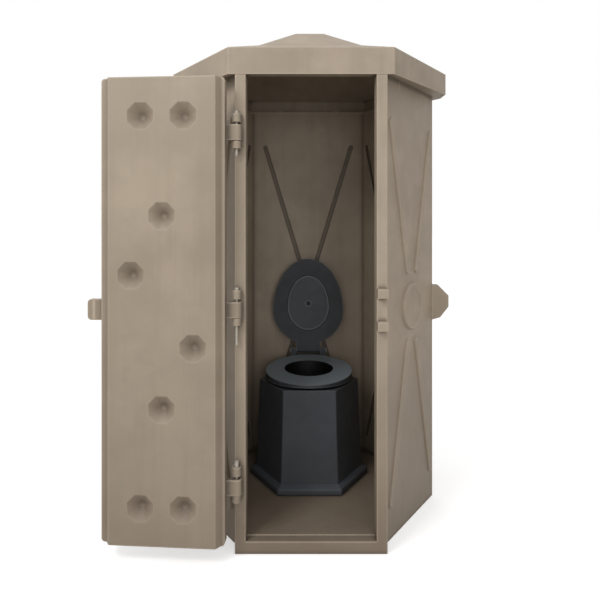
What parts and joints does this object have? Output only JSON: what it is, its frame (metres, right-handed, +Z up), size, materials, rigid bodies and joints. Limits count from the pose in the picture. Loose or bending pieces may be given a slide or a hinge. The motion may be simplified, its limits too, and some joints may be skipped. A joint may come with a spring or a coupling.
{
  "type": "pit toilet",
  "caption": "Hexagonal moulded plastic toilet cabin with a swinging door, low pyramid roof, and a pedestal seat with a hinged lid over a drop hole.",
  "frame": {"origin": "on the ground at the centre of the hexagonal cabin", "axes": "+Z up, +Y from the doorway to the back wall, +X to the right as seen from the front"},
  "size_m": [1.5729, 1.0777, 2.217],
  "materials": {
    "cabin_plastic": "matte rotomoulded polyethylene, taupe",
    "pedestal_plastic": "satin rotomoulded polyethylene, charcoal",
    "fixing_steel": "dull galvanised steel",
    "buffer_rubber": "matt black rubber"
  },
  "bodies": {
    "cabin": {"floor_base": "cabin_plastic", "front_right_panel": "cabin_plastic", "rear_right_panel": "cabin_plastic", "back_panel": "cabin_plastic", "rear_left_panel": "cabin_plastic", "front_left_panel": "cabin_plastic", "left_jamb": "cabin_plastic", "right_jamb": "cabin_plastic", "door_sill": "cabin_plastic", "door_header": "cabin_plastic", "roof": "cabin_plastic", "left_corner_lug": "cabin_plastic", "right_corner_lug": "cabin_plastic", "pedestal": "pedestal_plastic", "drop_chute": "pedestal_plastic", "seat_ring": "pedestal_plastic", "roof_screws": "fixing_steel", "lower_hinge_pin": "fixing_steel", "middle_hinge_pin": "fixing_steel", "upper_hinge_pin": "fixing_steel", "lid_hinge_pin": "fixing_steel", "seat_buffers": "buffer_rubber"},
    "door": {"door_leaf": "cabin_plastic"},
    "lid": {"lid": "pedestal_plastic", "lid_plug": "pedestal_plastic", "lid_plug_screw": "pedestal_plastic"}
  },
  "joints": [
    {"name": "door_hinge", "type": "hinge", "parent": "cabin", "child": "door", "pos_m": [-0.296, -0.531, 0], "axis": [0, 0, 1], "range_deg": [-45, 184.2]},
    {"name": "lid_hinge", "type": "hinge", "parent": "cabin", "child": "lid", "pos_m": [0, 0.336, 0.63417], "axis": [1, 0, 0], "range_deg": [0, 101.5]}
  ]
}
